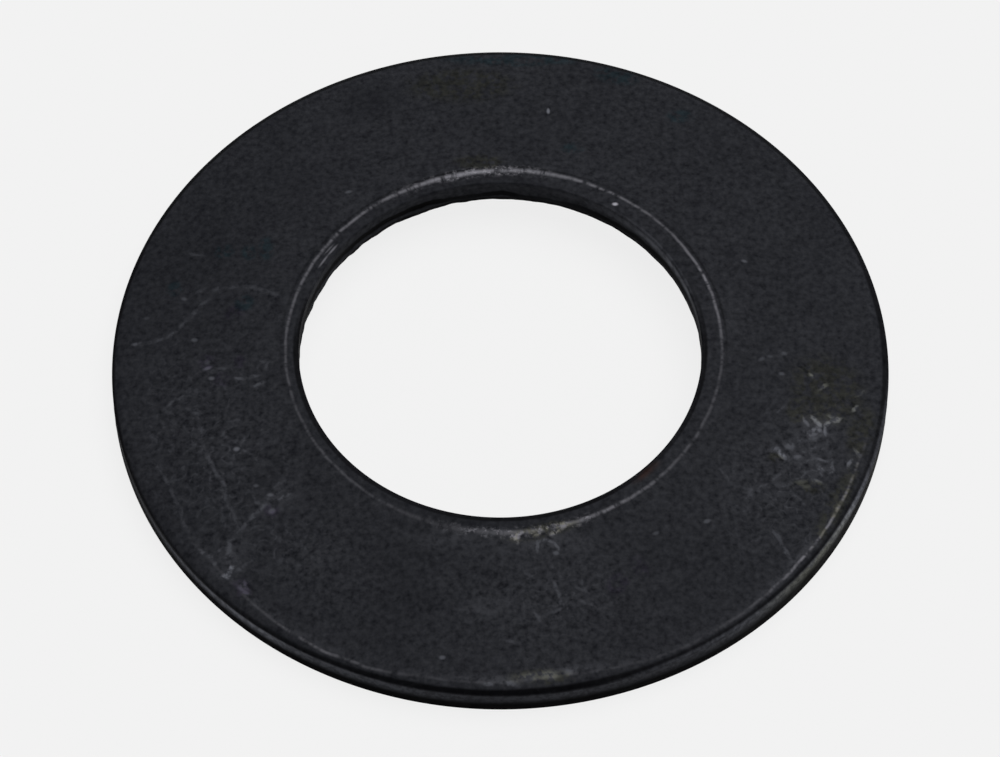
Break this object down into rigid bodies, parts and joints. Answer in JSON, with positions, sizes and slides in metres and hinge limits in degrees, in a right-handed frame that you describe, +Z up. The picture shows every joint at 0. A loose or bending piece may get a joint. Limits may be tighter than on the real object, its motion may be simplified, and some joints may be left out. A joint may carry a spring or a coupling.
{
  "type": "conical disc-spring washer",
  "caption": "Black conical disc-spring washer: a thin round steel ring pressed to a shallow cone, with a large central bore and rounded rim. It springs when clamped flat.",
  "frame": {"origin": "middle of the circle that the washer rests on, at the height of its foot ring", "axes": "+Z up along the bore axis, towards the crown; X and Y are any two directions square to it, and the picture looks along +Y from above"},
  "size_m": [0.0315, 0.0314, 0.0022],
  "materials": {
    "phosphated_steel": "matt black phosphate coat, oiled, on spring steel"
  },
  "bodies": {
    "root": {"washer": "phosphated_steel"}
  },
  "joints": []
}
